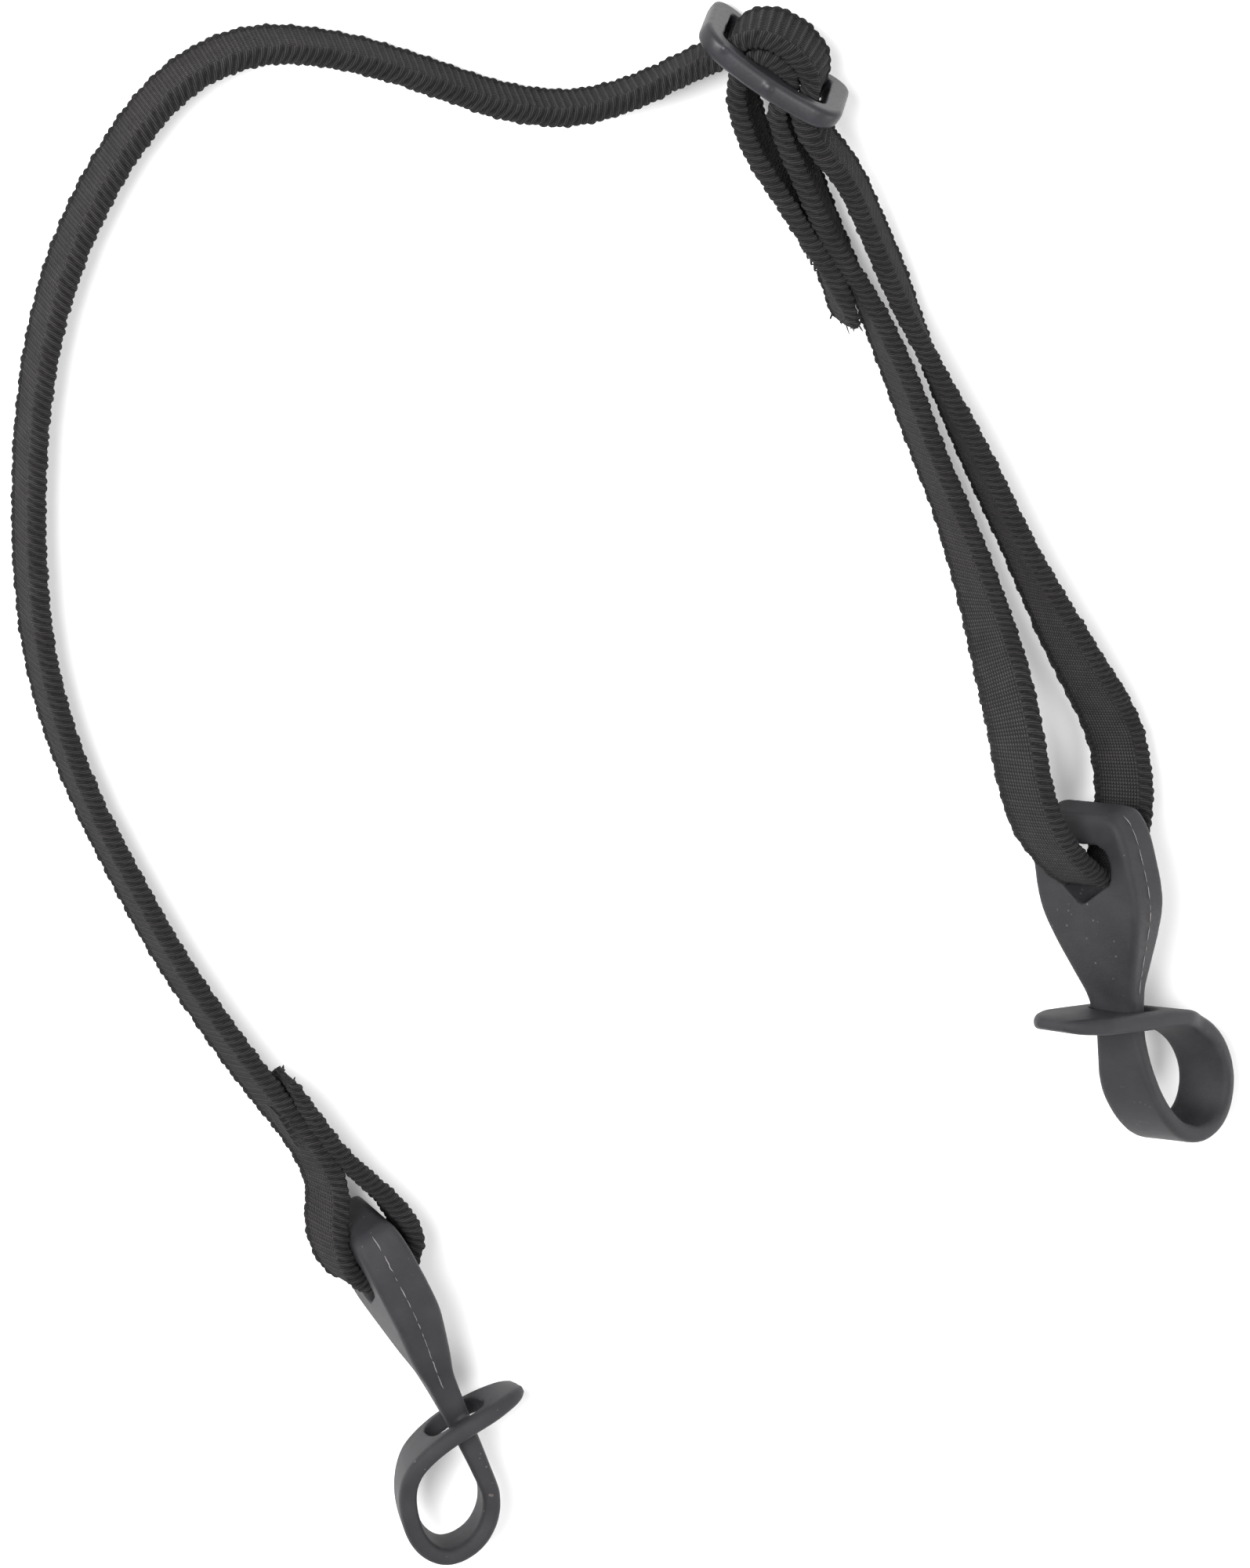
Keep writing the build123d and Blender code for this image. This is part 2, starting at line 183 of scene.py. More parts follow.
ANCHOR_LOOP = [SLIDER.at(*p) for p in [
    (8.8, -7.7), (4.2, -4.4), (2.9, -2.6), (2.8, 1.6), (-2.8, 1.6), (-2.8, -3.8), (3.6, -9.3),
]]
TAIL = [Vector(p) for p in [
    (14.2, 79.0, 9.0), (18.25, 71.5, 8.9), (21.3, 66.0, 8.5), (23.0, 60.2, 8.0),
]]


def inward(angle, x, y):
    """The width direction of the arch where it leans by angle towards (x, y)."""
    return lean(angle, (x, y, 0), Vector((-y, x, 0)).normalized())


# Each stretch: its points, and the directions of its width at even steps from end to end.
STRETCHES = [
    (LEFT_LOOP, [LEFT.width, LEFT.width, LEFT.width, LOOP_WIDTH, LOOP_WIDTH]),
    (ARCH, [
        LOOP_WIDTH, inward(15, 0.9, 0.4), inward(8, 1.0, 0.0), inward(8, 0.8, -0.6),
        inward(9, 0.2, -0.98), SLIDER.width,
    ]),
    (CROSSING, [SLIDER.width, BULGE_WIDTH, BULGE_WIDTH, SLIDER.width]),
    (MAIN_RUN, [SLIDER.width, SLIDER.width, RUN_WIDTH, RUN_WIDTH, RIGHT_STEEP_WIDTH]),
    (RIGHT_TURN, [RIGHT_STEEP_WIDTH, RIGHT.width, RIGHT.width]),
    (RETURN_RUN, [RIGHT.width, RUN_WIDTH, RUN_WIDTH]),
    (STITCHED_RUN + ANCHOR_LOOP + TAIL, [
        RUN_WIDTH, SLIDER.width, BULGE_WIDTH, BULGE_WIDTH, SLIDER.width, RUN_WIDTH,
    ]),
]


def smooth_line(points):
    """Points along the NURBS curve that has these control points."""
    curve = bpy.data.curves.new("route", "CURVE")
    curve.dimensions = "3D"
    spline = curve.splines.new("NURBS")
    spline.points.add(len(points) - 1)
    for control, point in zip(spline.points, points):
        control.co = (*point, 1.0)
    spline.order_u = 3
    spline.use_endpoint_u = True
    spline.resolution_u = 40
    holder = bpy.data.objects.new("route", curve)
    bpy.context.scene.collection.objects.link(holder)
    mesh = bpy.data.meshes.new_from_object(holder)
    line = [v.co.copy() for v in mesh.vertices]
    bpy.data.objects.remove(holder)
    return line


class Route:
    """A smooth line in metres with a width direction, read by distance along it."""

    def __init__(self, points, across):
        self.line = smooth_line([p * MM for p in points])
        edge = smooth_line([(p + a) * MM for p, a in zip(points, across)])
        self.across = [(e - c).normalized() for c, e in zip(self.line, edge)]
        self.reach = [0.0]
        for a, b in zip(self.line, self.line[1:]):
            self.reach.append(self.reach[-1] + (b - a).length)
        self.length = self.reach[-1]

    def nearest(self, place, start=0.0):
        """The distance along the route of its point nearest to a place, from start on."""
        found = min(
            (i for i, r in enumerate(self.reach) if r >= start),
            key=lambda i: (self.line[i] - place).length,
        )
        return self.reach[found]

    def frames(self, distances, across_at=None):
        """(place, direction, width direction, thickness direction) at rising distances."""
        found, i = [], 0
        for distance in distances:
            while i < len(self.reach) - 2 and self.reach[i + 1] < distance:
                i += 1
            share = (distance - self.reach[i]) / (self.reach[i + 1] - self.reach[i])
            place = self.line[i].lerp(self.line[i + 1], share)
            before, after = self.line[max(i - 1, 0)], self.line[min(i + 2, len(self.line) - 1)]
            direction = (after - before).normalized()
            if across_at:
                across = across_at(distance)
            else:
                across = self.across[i].lerp(self.across[i + 1], share)
            across = (across - direction * across.dot(direction)).normalized()
            found.append((place, direction, across, direction.cross(across)))
        return found


def width_at(widths, share):
    """The width direction at a share of the way through evenly spaced ones."""
    place = min(max(share, 0.0), 1.0) * (len(widths) - 1)
    step = min(int(place), len(widths) - 2)
    return widths[step].lerp(widths[step + 1], place - step)


def strap_route():
    """The whole strap's line, with the direction of its width at every point."""
    points, across = [], []
    for number, (stretch, widths) in enumerate(STRETCHES):
        before = STRETCHES[number - 1][0][-1] if number else stretch[0]
        after = STRETCHES[number + 1][0][0] if number + 1 < len(STRETCHES) else stretch[-1]
        line = [(before + stretch[0]) / 2, *stretch, (stretch[-1] + after) / 2]
        reach = [0.0]
        for a, b in zip(line, line[1:]):
            reach.append(reach[-1] + (b - a).length)
        for point, distance in zip(stretch, reach[1:]):
            points.append(point)
            across.append(width_at(widths, distance / reach[-1]).normalized())
    return Route(points, across)


# ---------------------------------------------------------------- materials


class Nodes:
    """Short hands for building a material's nodes."""

    def __init__(self, name):
        self.material = bpy.data.materials.new(name)
        self.material.use_nodes = True
        self.tree = self.material.node_tree
        self.shader = self.tree.nodes["Principled BSDF"]

    def put(self, kind, inputs=(), **settings):
        node = self.tree.nodes.new(kind)
        for key, value in settings.items():
            setattr(node, key, value)
        for socket, value in dict(inputs).items():
            if isinstance(value, bpy.types.NodeSocket):
                self.tree.links.new(value, node.inputs[socket])
            else:
                node.inputs[socket].default_value = value
        return node

    def math(self, operation, a, b=0.0, c=0.0):
        return self.put("ShaderNodeMath", {0: a, 1: b, 2: c}, operation=operation).outputs[0]

    def wave(self, value, pitch):
        """A sine of this pitch, from 0 to 1."""
        turned = self.math("MULTIPLY", value, 2 * math.pi / pitch)
        return self.math("MULTIPLY_ADD", self.math("SINE", turned), 0.5, 0.5)

    def noise(self, vector, scale, detail, roughness):
        return self.put(
            "ShaderNodeTexNoise",
            {"Vector": vector, "Scale": scale, "Detail": detail, "Roughness": roughness},
        ).outputs["Fac"]

    def ramp(self, value, stops):
        node = self.put("ShaderNodeValToRGB", {"Fac": value})
        elements = node.color_ramp.elements
        while len(elements) < len(stops):
            elements.new(0.5)
        for element, (position, colour) in zip(elements, stops):
            element.position = position
            element.color = (*colour, 1.0)
        return node.outputs["Color"]

    def bump(self, height, strength, distance):
        return self.put(
            "ShaderNodeBump", {"Height": height, "Strength": strength, "Distance": distance}
        ).outputs["Normal"]

    def link(self, value, socket):
        self.tree.links.new(value, self.shader.inputs[socket])

    def set(self, socket, value):
        self.shader.inputs[socket].default_value = value


def webbing_material():
    """Knitted black yarn: columns of chevron stitches on the faces, wound yarn on the edge cords. Its
    colour is a painted highlight on the raised yarn and painted shade between, over a random fibre
    tone.
    """
    n = Nodes("webbing")
    weave = n.put("ShaderNodeAttribute", attribute_name="weave").outputs["Vector"]
    split = n.put("ShaderNodeSeparateXYZ", {"Vector": weave})
    along, across, edge = split.outputs[0], split.outputs[1], split.outputs[2]

    column = n.math("MULTIPLY", across, 1 / COLUMN_PITCH)
    in_column = n.math("ABSOLUTE", n.math("SUBTRACT", n.math("FRACT", column), 0.5))
    ridge = n.math("SUBTRACT", 1.0, n.math("POWER", n.math("MULTIPLY", in_column, 2.0), 2.0))
    stitches = n.math("MULTIPLY", along, 1 / STITCH_PITCH)
    stitch = n.wave(n.math("MULTIPLY_ADD", in_column, CHEVRON_SLANT, stitches), 1.0)
    knit = n.math("MULTIPLY", ridge, n.math("MULTIPLY_ADD", stitch, 0.6, 0.4))

    strand = n.wave(n.math("MULTIPLY_ADD", across, YARN_LEAN, along), YARN_PITCH)
    fibres = n.noise(weave, 9.0, 4.0, 0.7)
    wound = n.math("MULTIPLY_ADD", fibres, 0.6, n.math("MULTIPLY", strand, 0.5))

    yarn_relief = n.put("ShaderNodeMix", {0: edge, 2: knit, 3: wound}, data_type="FLOAT").outputs[0]
    fuzz = n.noise(weave, 30.0, 3.0, 0.7)
    shade = n.math("MULTIPLY_ADD", fuzz, 0.45, n.math("MULTIPLY", yarn_relief, 0.6))
    patches = n.noise(weave, 0.35, 2.0, 0.5)
    shade = n.math("MULTIPLY_ADD", patches, 0.25, shade)
    # Painted shade: the webbing's colour is darkened in the valleys between its ribs and left lighter
    # on their tops.
    painted_rib_shade = n.put("ShaderNodeAttribute", attribute_name="painted_rib_shade").outputs["Fac"]
    shade = n.math("MULTIPLY", shade, n.math("MULTIPLY_ADD", painted_rib_shade, 0.55, 0.45))
    # Painted highlight and painted shade: the ramp makes the raised yarn of the knit and wound cords
    # light and the gaps between nearly black; fuzz and patches are random yarn tone.
    n.link(n.ramp(shade, [
        (0.20, (0.0015, 0.0015, 0.0018)), (0.60, (0.0110, 0.0105, 0.0110)),
        (0.90, (0.062, 0.058, 0.058)),
    ]), "Base Color")
    n.link(n.math("MULTIPLY_ADD", fuzz, -0.15, 0.95), "Roughness")
    n.set("Sheen Weight", 0.06)
    n.set("Sheen Roughness", 0.5)
    n.set("Sheen Tint", (0.80, 0.78, 0.80, 1))
    n.set("Specular IOR Level", 0.10)
    height = n.math("MULTIPLY_ADD", fuzz, 0.35, yarn_relief)
    n.link(n.bump(height, 1.0, 0.00030), "Normal")
    return n.material


def rubber_material():
    """Matte moulded rubber with a fine grain, slight mottling and dust specks."""
    n = Nodes("moulded_rubber")
    place = n.put("ShaderNodeTexCoord").outputs["Object"]
    grain = n.noise(place, 9000.0, 4.0, 0.7)
    mottle = n.noise(place, 260.0, 3.0, 0.5)
    cells = n.put("ShaderNodeTexVoronoi", {"Vector": place, "Scale": 900.0, "Randomness": 1.0})
    scatter = n.noise(place, 120.0, 2.0, 0.5)
    speck_size = n.math("MULTIPLY_ADD", scatter, 0.55, -0.24)
    speck = n.math("LESS_THAN", cells.outputs["Distance"], speck_size)
    tone = n.math("MULTIPLY_ADD", grain, 0.35, n.math("MULTIPLY", mottle, 0.65))
    base = n.ramp(tone, [
        (0.25, (0.0140, 0.0136, 0.0160)), (0.50, (0.0200, 0.0195, 0.0225)),
        (0.75, (0.0290, 0.0280, 0.0320)),
    ])
    dusty = n.put(
        "ShaderNodeMix", {0: n.math("MULTIPLY", speck, 0.55), 6: base, 7: (0.12, 0.10, 0.09, 1)},
        data_type="RGBA",
    ).outputs[2]
    n.link(dusty, "Base Color")
    n.link(n.math("MULTIPLY_ADD", mottle, 0.22, 0.42), "Roughness")
    n.set("Specular IOR Level", 0.25)
    height = n.math("MULTIPLY_ADD", speck, 0.5, grain)
    n.link(n.bump(height, 0.8, 0.00008), "Normal")
    return n.material


def plastic_material():
    """Smooth satin plastic with faint flow marks and handling scuffs."""
    n = Nodes("satin_plastic")
    place = n.put("ShaderNodeTexCoord").outputs["Object"]
    flow = n.noise(place, 180.0, 3.0, 0.5)
    scuff = n.noise(place, 2400.0, 5.0, 0.75)
    n.link(n.ramp(n.math("MULTIPLY_ADD", scuff, 0.3, n.math("MULTIPLY", flow, 0.7)), [
        (0.25, (0.012, 0.012, 0.014)), (0.55, (0.019, 0.0185, 0.022)), (0.80, (0.032, 0.031, 0.036)),
    ]), "Base Color")
    n.link(n.math("MULTIPLY_ADD", scuff, 0.28, 0.30), "Roughness")
    n.set("Specular IOR Level", 0.32)
    n.link(n.bump(n.math("MULTIPLY_ADD", flow, 0.8, scuff), 0.35, 0.00005), "Normal")
    return n.material


def thread_material(name, dark, light):
    """Twisted thread or loose yarn."""
    n = Nodes(name)
    place = n.put("ShaderNodeTexCoord").outputs["Object"]
    fibres = n.noise(place, 7000.0, 4.0, 0.7)
    n.link(n.ramp(fibres, [(0.30, dark), (0.70, light)]), "Base Color")
    n.link(n.math("MULTIPLY_ADD", fibres, -0.2, 0.95), "Roughness")
    n.link(n.bump(fibres, 0.8, 0.00008), "Normal")
    return n.material


# ---------------------------------------------------------------- mesh helpers


THREAD_SIDES = 6


def link_mesh(name, mesh, material, body):
    """The mesh as a smooth-shaded object that rides on a body, if one is named."""
    for face in mesh.polygons:
        face.use_smooth = True
    piece = bpy.data.objects.new(name, mesh)
    bpy.context.scene.collection.objects.link(piece)
    mesh.materials.append(material)
    if body:
        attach(piece, body)
    return piece


def sleeve(rings):
    """Vertices and faces of a closed skin over rings with equal numbers of points."""
    count = len(rings[0])
    vertices = [v for ring in rings for v in ring]
    faces = []
    for r in range(len(rings) - 1):
        for i in range(count):
            j = (i + 1) % count
            a, b = r * count, (r + 1) * count
            faces.append((a + i, a + j, b + j, b + i))
    faces.append(tuple(reversed(range(count))))
    last = (len(rings) - 1) * count
    faces.append(tuple(last + i for i in range(count)))
    return vertices, faces


def joined(name, parts):
    """One mesh from several (vertices, faces) lists, with its faces turned outwards."""
    vertices, faces = [], []
    for part_vertices, part_faces in parts:
        start = len(vertices)
        vertices += part_vertices
        faces += [tuple(start + i for i in face) for face in part_faces]
    mesh = bpy.data.meshes.new(name)
    mesh.from_pydata(vertices, [], faces)
    work = bmesh.new()
    work.from_mesh(mesh)
    bmesh.ops.recalc_face_normals(work, faces=work.faces)
    work.to_mesh(mesh)
    work.free()
    return mesh


def merged(name, meshes):
    """The meshes as one, in the order given."""
    work = bmesh.new()
    for mesh in meshes:
        work.from_mesh(mesh)
    whole = bpy.data.meshes.new(name)
    work.to_mesh(whole)
    work.free()
    return whole


def circle(sides):
    """Angles at even steps round a circle."""
    return [2 * math.pi * k / sides for k in range(sides)]


def tube(path, radius):
    """A thread along a list of points, thinning at both tips."""
    rings = []
    side = Vector((0.31, 0.52, 0.79))  # any direction that no thread runs along
    for i, point in enumerate(path):
        direction = (path[min(i + 1, len(path) - 1)] - path[max(i - 1, 0)]).normalized()
        side = (side - direction * side.dot(direction)).normalized()
        other = direction.cross(side)
        tip = min(i, len(path) - 1 - i)
        r = radius * (0.35 if tip == 0 else 0.8 if tip == 1 else 1.0)
        rings.append([
            point + (side * math.cos(t) + other * math.sin(t)) * r for t in circle(THREAD_SIDES)
        ])
    return sleeve(rings)


# ---------------------------------------------------------------- webbing

BEAD_PITCH = 0.92  # one wound rib of the edge cords
COLUMN_PITCH = 0.40  # knitted columns, across the strap
STITCH_PITCH = 0.46  # knitted stitches, along it
CHEVRON_SLANT = 0.9  # how far a stitch runs along its column, in pitches over one column
YARN_PITCH = 0.25
YARN_LEAN = 0.35
RINGS_PER_BEAD = 5
FACE_HALF = 0.98
CORD_CENTRE = 2.92
CORD_REACH = 1.04
CORD_HALF = 1.16
RIB_DEPTH = 0.30  # of the edge cords' wound ribs
RIB_SLANT = 0.55  # how far a rib runs along the strap for each millimetre of its thickness
YARN_BUMP = 0.07
TAPER_LENGTH = 7.0  # over which a cut end thins
NO_CUT = 99.0  # further than any taper reaches
SHOULDER_CENTRE = 2.66  # where a face meets its edge cord
SHOULDER_HALF = 0.90
FACE_EDGE = 2.35
FACE_CROWN = 0.006
WANDER = 0.10  # unevenness of the ribs


def strap_outline():
    """(across, thickness, outward across, outward thickness, edge) round the webbing's section."""
    outline = []
    cord_turns = [math.radians(t) for t in range(-84, 85, 14)]
    face_places = [FACE_EDGE * i / 3 for i in range(-3, 4)]
    for side in (1, -1):
        for t in cord_turns:
            outline.append((
                side * (CORD_CENTRE + CORD_REACH * math.cos(t)), side * CORD_HALF * math.sin(t),
                side * math.cos(t), side * math.sin(t), 1.0,
            ))
        outline.append((side * SHOULDER_CENTRE, side * SHOULDER_HALF, 0.0, side, 0.3))
        for y in reversed(face_places):
            outline.append((side * y, side * (FACE_HALF - FACE_CROWN * y * y), 0.0, side, 0.0))
        outline.append((-side * SHOULDER_CENTRE, side * SHOULDER_HALF, 0.0, side, 0.3))
    return outline


def rib(distance):
    """0 in the valley between two ribs and 1 on a rib's back."""
    return abs(math.sin(math.pi * distance / BEAD_PITCH)) ** 0.6


def build_webbing(name, route, start, end, material, ribbed, cut_start=False, cut_end=False):
    """The strap between two distances; ribbed(distance) is how deep its faces are ribbed."""
    step = BEAD_PITCH * MM / RINGS_PER_BEAD
    count = int(round((end - start) / step))
    distances = [start + (end - start) * i / count for i in range(count + 1)]
    outline = strap_outline()
    rings, weave, painted_rib_shade = [], [], []
    for distance, (place, _, across, thick) in zip(distances, route.frames(distances)):
        s = distance / MM
        size = 1.0 + 0.035 * noise.noise(Vector((s * 0.35, 3.1, 0)))
        to_cut = min(
            (distance - start) / MM if cut_start else NO_CUT,
            (end - distance) / MM if cut_end else NO_CUT,
        )
        worn = max(0.0, 1 - to_cut / TAPER_LENGTH) ** 1.6
        wide, deep = size * (1 - 0.22 * worn), size * (1 - 0.45 * worn)
        ribs = ribbed(s)
        ring = []
        for y, x, out_y, out_x, edge in outline:
            side = 1 if y > 0 else -1
            slant = s + RIB_SLANT * x * side + 0.5 * (1 - edge)
            bead = math.floor(slant / BEAD_PITCH)
            wander = noise.noise(Vector((bead * 0.9, side * 2.0, 0.5)))
            yarn = math.sin(4.6 * x + 2.1 * bead + side)
            wound = (RIB_DEPTH + WANDER * wander) * (rib(slant) - 0.72)
            lift = edge * (wound + YARN_BUMP * yarn + 0.06 * wander)
            lift += (1 - edge) * ribs * (rib(s + WANDER * wander) - 0.7)
            lift += 0.04 * noise.noise(Vector((s * 2.3, y * 2.0, x * 2.0 + 7)))
            lift += worn * 0.25 * noise.noise(Vector((s * 1.1, y * 1.3, x * 2.0 + 3)))
            sideways, outwards = y * wide + out_y * lift, x * deep + out_x * lift
            ring.append(place + across * (sideways * MM) + thick * (outwards * MM))
            weave.append((s, y if edge < 0.9 else x, edge))
            # Painted shade: 1 on a rib's top, falling towards 0 in the valleys between ribs, where the
            # material darkens the yarn.
            painted_rib_shade.append(edge * rib(slant) + (1 - edge) * (1 - ribs * 3 * (1 - rib(s))))
        rings.append(ring)
    for end_ring in (0, -1):
        middle = sum(rings[end_ring], Vector()) / len(outline)
        rings[end_ring] = [middle.lerp(v, 0.93) for v in rings[end_ring]]
    mesh = bpy.data.meshes.new(name)
    vertices, faces = sleeve(rings)
    mesh.from_pydata(vertices, [], faces)
    values = mesh.attributes.new("weave", "FLOAT_VECTOR", "POINT")
    values.data.foreach_set("vector", [c for triple in weave for c in triple])
    mesh.attributes.new("painted_rib_shade", "FLOAT", "POINT").data.foreach_set("value", painted_rib_shade)
    mesh.update()
    return link_mesh(name, mesh, material, None)


ARCH_DIP = Vector((-13.1, 88.0, 4.4))  # where the arch is pinched into deep cross ribs
DIP_REACH = 0.022


def build_strap(material):
    """The webbing in two pieces that meet beside the slider, and its route."""
    route = strap_route()
    cut = route.nearest((ARCH[-1] + CROSSING[0]) * 0.5 * MM)
    bulge_from = route.nearest(CROSSING[1] * MM)
    bulge_to = route.nearest(CROSSING[-1] * MM)
    dip = route.nearest(ARCH_DIP * MM)

    def ribbed(s):
        near_dip = math.exp(-((s * MM - dip) / DIP_REACH) ** 2)
        on_bulge = 1.0 if bulge_from < s * MM < bulge_to else 0.0
        return 0.06 + 0.16 * max(near_dip, on_bulge)

    first = build_webbing(
        "strap_arch_and_left_loop", route, 0.0, cut, material, ribbed, cut_start=True
    )
    second = build_webbing(
        "strap_slider_and_right_loop", route, cut, route.length, material, ribbed, cut_end=True
    )
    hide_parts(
        "strap_left_loop", "strap_arch", "elastic_core_left_loop", "elastic_core_arch"
    )
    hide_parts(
        "strap_slider_crossing", "strap_main_run", "strap_right_turn", "strap_return_run",
        "strap_anchor_loop", "elastic_core_slider_crossing", "elastic_core_main_run",
        "elastic_core_right_turn", "elastic_core_return_run", "elastic_core_anchor_loop",
    )
    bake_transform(first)
    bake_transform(second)
    return route


# ---------------------------------------------------------------- temple grips

GRIP_VOXEL = 0.00024
GRIP_STEP = 0.35  # between the sections of a moulding
GRIP_EDGE = 0.75  # the radius of its section's corners
TAIL_OVERLAP = 0.4


def rounded_outline(width, thickness, radius, steps=5):
    """Points (across, thickness) of a rectangle with rounded corners."""
    radius = min(radius, thickness * 0.49, width * 0.49)
    points = []
    for i, (sx, sy) in enumerate(((1, 1), (-1, 1), (-1, -1), (1, -1))):
        for k in range(steps + 1):
            t = math.pi / 2 * (i + k / steps)
            points.append((
                sx * (width / 2 - radius) + radius * math.cos(t),
                sy * (thickness / 2 - radius) + radius * math.sin(t),
            ))
    return points


# (distance, width, thickness) from the head's end to the neck
HEAD_SHAPE = [
    (0.0, 9.0, 3.8), (0.6, 11.6, 5.2), (1.8, 13.2, 5.8), (4.0, 14.4, 6.1), (7.0, 14.9, 6.2),
    (10.4, 15.2, 6.2), (13.4, 14.6, 6.1), (17.2, 12.1, 5.6), (21.2, 9.0, 4.8), (24.8, 6.7, 3.7),
]
TWIST_FROM = 13.4  # where the width starts to turn from the head's to the noose's
TWISTED_BY = 8.0  # how far past the crossing it has turned
NECK_SLOT = (7.8, 7.3, 2.4)  # length, width and corner radius of the hole the neck passes
# (along, across, radius) of the circles that the eyelet's edge is stretched round
EYELET_CORNERS = [
    (4.5, 2.5, 2.0), (4.5, -2.5, 2.0), (6.0, 2.3, 2.2), (6.0, -2.3, 2.2), (9.5, -0.8, 1.0),
]


def smooth_shape(keys, distance):
    """Width and thickness at a distance, eased through the keys."""
    if distance <= keys[0][0]:
        return keys[0][1:]
    for i in range(len(keys) - 1):
        d0, d1 = keys[i][0], keys[i + 1][0]
        if distance <= d1:
            t = (distance - d0) / (d1 - d0)
            before, after = keys[max(i - 1, 0)], keys[min(i + 2, len(keys) - 1)]
            values = []
            for k in (1, 2):
                v0, v1 = keys[i][k], keys[i + 1][k]
                m0 = (v1 - before[k]) / (d1 - before[0]) * (d1 - d0)
                m1 = (after[k] - v0) / (after[0] - d0) * (d1 - d0)
                values.append(
                    (2 * t ** 3 - 3 * t * t + 1) * v0 + (t ** 3 - 2 * t * t + t) * m0
                    + (3 * t * t - 2 * t ** 3) * v1 + (t ** 3 - t * t) * m1
                )
            return values
    return keys[-1][1:]


def cutter(name, outline, place, x, y, depth):
    """A prism of an outline in the plane of x and y, reaching depth both ways."""
    normal = x.cross(y)
    rings = [
        [place + x * u + y * v + normal * side * depth for u, v in outline] for side in (-1, 1)
    ]
    return held(name, joined(name, [sleeve(rings)]))


def held(name, mesh):
    """A temporary object for working on a mesh."""
    holder = bpy.data.objects.new(name, mesh)
    bpy.context.scene.collection.objects.link(holder)
    return holder


def applied(holder):
    """The temporary object's mesh with its modifiers; the object is then removed."""
    bpy.context.view_layer.update()
    graph = bpy.context.evaluated_depsgraph_get()
    result = bpy.data.meshes.new_from_object(holder.evaluated_get(graph))
    bpy.data.objects.remove(holder)
    return result


def cut_away(mesh, tool):
    """The mesh less the tool, which is then removed."""
    holder = held("cut", mesh)
    boolean = holder.modifiers.new("cut", "BOOLEAN")
    boolean.operation = "DIFFERENCE"
    boolean.solver = "EXACT"
    boolean.object = tool
    result = applied(holder)
    bpy.data.objects.remove(tool)
    return result


def evened(mesh, voxel, softened):
    """The mesh as one even skin, its edges softened."""
    holder = held("even", mesh)
    remesh = holder.modifiers.new("even", "REMESH")
    remesh.mode = "VOXEL"
    remesh.voxel_size = voxel
    relax = holder.modifiers.new("soften", "SMOOTH")
    relax.factor = 0.5
    relax.iterations = softened
    return applied(holder)


def eyelet_outline():
    """The pear-shaped hole, in (along, across): a line stretched round circles."""
    points = []
    for x, y, radius in EYELET_CORNERS:
        for t in circle(40):
            points.append(Vector((x + radius * math.cos(t), y + radius * math.sin(t))) * MM)
    return [tuple(points[i]) for i in convex_hull_2d(points)]


def build_grip(name, node, body, plane, path, noose_width, tail_start, crossing, material):
    """One moulding: head, neck and a strip bent to a noose, whose slotted tail holds the neck."""
    places = [plane.at(x, y) for x, y in path]
    route = Route(places, [plane.width] * len(path))
    total = route.length / MM
    tail_from = route.nearest((places[tail_start] + places[tail_start + 1]) * 0.5 * MM) / MM
    keys = HEAD_SHAPE + [
        (crossing + 3, 5.9, 2.8), (crossing + 11, 7.4, 2.3), (tail_from - 5, 7.4, 2.3),
        (tail_from, 10.4, 2.2), (total - 6, 10.8, 2.2), (total - 2.4, 8.6, 2.0),
        (total - 0.8, 6.6, 1.6), (total, 4.4, 1.0),
    ]

    def across_at(distance):
        share = (distance / MM - TWIST_FROM) / (crossing + TWISTED_BY - TWIST_FROM)
        return plane.width.lerp(noose_width, min(max(share, 0.0), 1.0))

    def skin(start, end):
        count = int((end - start) / GRIP_STEP)
        distances = [start + (end - start) * i / count for i in range(count + 1)]
        frames = route.frames([d * MM for d in distances], across_at)
        rings = []
        for distance, (place, _, side, thick) in zip(distances, frames):
            width, depth = smooth_shape(keys, distance)
            rings.append([
                place + side * (u * MM) + thick * (v * MM)
                for u, v in rounded_outline(width, depth, GRIP_EDGE)
            ])
        return joined(name, [sleeve(rings)])

    body_mesh = skin(0.0, tail_from + TAIL_OVERLAP)
    tail_mesh = skin(tail_from, total)
    hole = cutter("eyelet", eyelet_outline(), plane.origin * MM, plane.x, plane.width, 8 * MM)
    body_mesh = cut_away(body_mesh, hole)
    at_neck = route.nearest(plane.at(crossing, 0) * MM, tail_from * MM)
    place, direction, side, _ = route.frames([at_neck], across_at)[0]
    slot_shape = [(u * MM, v * MM) for u, v in rounded_outline(*NECK_SLOT, 6)]
    slot = cutter("slot", slot_shape, place, direction, side, 4 * MM)
    tail_mesh = cut_away(tail_mesh, slot)

    whole = merged(name, [body_mesh, tail_mesh])
    piece = link_mesh(name, evened(whole, GRIP_VOXEL, 5), material, body)
    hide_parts(node)
    return piece


# The middle lines of the two mouldings, in their own planes: head, neck, noose and tail.
LEFT_PATH = [
    (-1.2, 0), (38.5, -0.5), (43.6, 0.6), (46.6, 4.2), (46.2, 8.8), (42.2, 11.2), (36.6, 10.4),
    (32.9, 8.2), (31.5, 4.8), (31.0, -0.2), (31.4, -9.0),
]
RIGHT_PATH = [
    (-1.2, 0), (22.0, 0.2), (30.5, 1.3), (35.4, 1.4), (40.2, -0.4), (44.0, -3.4), (45.9, -7.8),
    (45.0, -12.4), (40.6, -14.9), (35.2, -13.6), (31.0, -9.4), (28.2, -4.2), (26.3, 1.8), (22.1, 14.0),
]


FLASH_STEP = 0.25  # between the points of a scrap of flash
FLASH_LIFT = 0.00004  # above the rubber
FLASH_END = 22.0  # how far along the grip it is found


